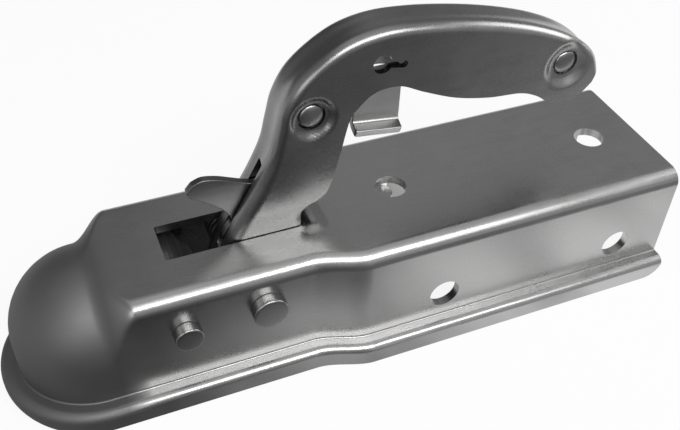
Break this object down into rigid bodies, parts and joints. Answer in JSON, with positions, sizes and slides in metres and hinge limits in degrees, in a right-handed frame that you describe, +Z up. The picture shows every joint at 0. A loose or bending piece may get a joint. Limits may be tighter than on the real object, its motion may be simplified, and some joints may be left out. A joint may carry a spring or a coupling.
{
  "type": "trailer coupling head",
  "caption": "Pressed steel coupling head for a square drawbar, with a dome over the tow ball, an arched lever, a catch with finger tab and a ball jaw.",
  "frame": {"origin": "centre of the tow ball inside the dome", "axes": "+X back along the drawbar, +Y to the far side of the picture, +Z up"},
  "size_m": [0.2695, 0.0814, 0.1265],
  "materials": {
    "zinc_sheet": "satin zinc plate on pressed steel",
    "lever_sheet": "satin zinc plate, a little darker",
    "catch_sheet": "satin zinc plate on stamped steel",
    "pin_steel": "turned and plated steel",
    "rivet_steel": "plated rivet steel",
    "spring_steel": "dark oiled spring wire",
    "bush": "plain bearing bush",
    "jaw_iron": "cast and hardened"
  },
  "bodies": {
    "head": {"housing": "zinc_sheet", "stop_strap": "zinc_sheet", "lever_pin": "pin_steel", "lever_bush_left": "bush", "lever_bush_right": "bush", "lever_washer_left": "zinc_sheet", "lever_washer_right": "zinc_sheet", "lever_spring_left": "spring_steel", "lever_spring_right": "spring_steel", "jaw_pin": "pin_steel", "jaw_bush_left": "bush", "jaw_bush_right": "bush", "jaw_spring": "spring_steel"},
    "lever_arm": {"lever": "lever_sheet", "catch_rivet": "rivet_steel", "catch_spacer_left": "rivet_steel", "catch_spacer_right": "rivet_steel", "catch_spring": "spring_steel", "end_rivet": "rivet_steel", "end_spacer": "rivet_steel", "cam_pin": "pin_steel", "cam_sleeve": "pin_steel"},
    "catch_plate": {"catch": "catch_sheet"},
    "ball_jaw": {"jaw": "jaw_iron"}
  },
  "joints": [
    {"name": "lever_hinge", "type": "hinge", "parent": "head", "child": "lever_arm", "pos_m": [0.06, 0, 0.013], "axis": [0, -1, 0], "range_deg": [0, 32], "stiffness_Nm_per_rad": 0.3, "springref_deg": -20.05},
    {"name": "catch_hinge", "type": "hinge", "parent": "lever_arm", "child": "catch_plate", "pos_m": [0.0844, 0, 0.0754], "axis": [0, -1, 0], "range_deg": [0, 10], "stiffness_Nm_per_rad": 0.1, "springref_deg": -14.9},
    {"name": "jaw_hinge", "type": "hinge", "parent": "head", "child": "ball_jaw", "pos_m": [0.03, 0, 0.0115], "axis": [0, -1, 0], "range_deg": [0, 15]}
  ],
  "couplings": [
    {"joint": "jaw_hinge", "follows": "lever_hinge", "ratio": 0.46875}
  ]
}
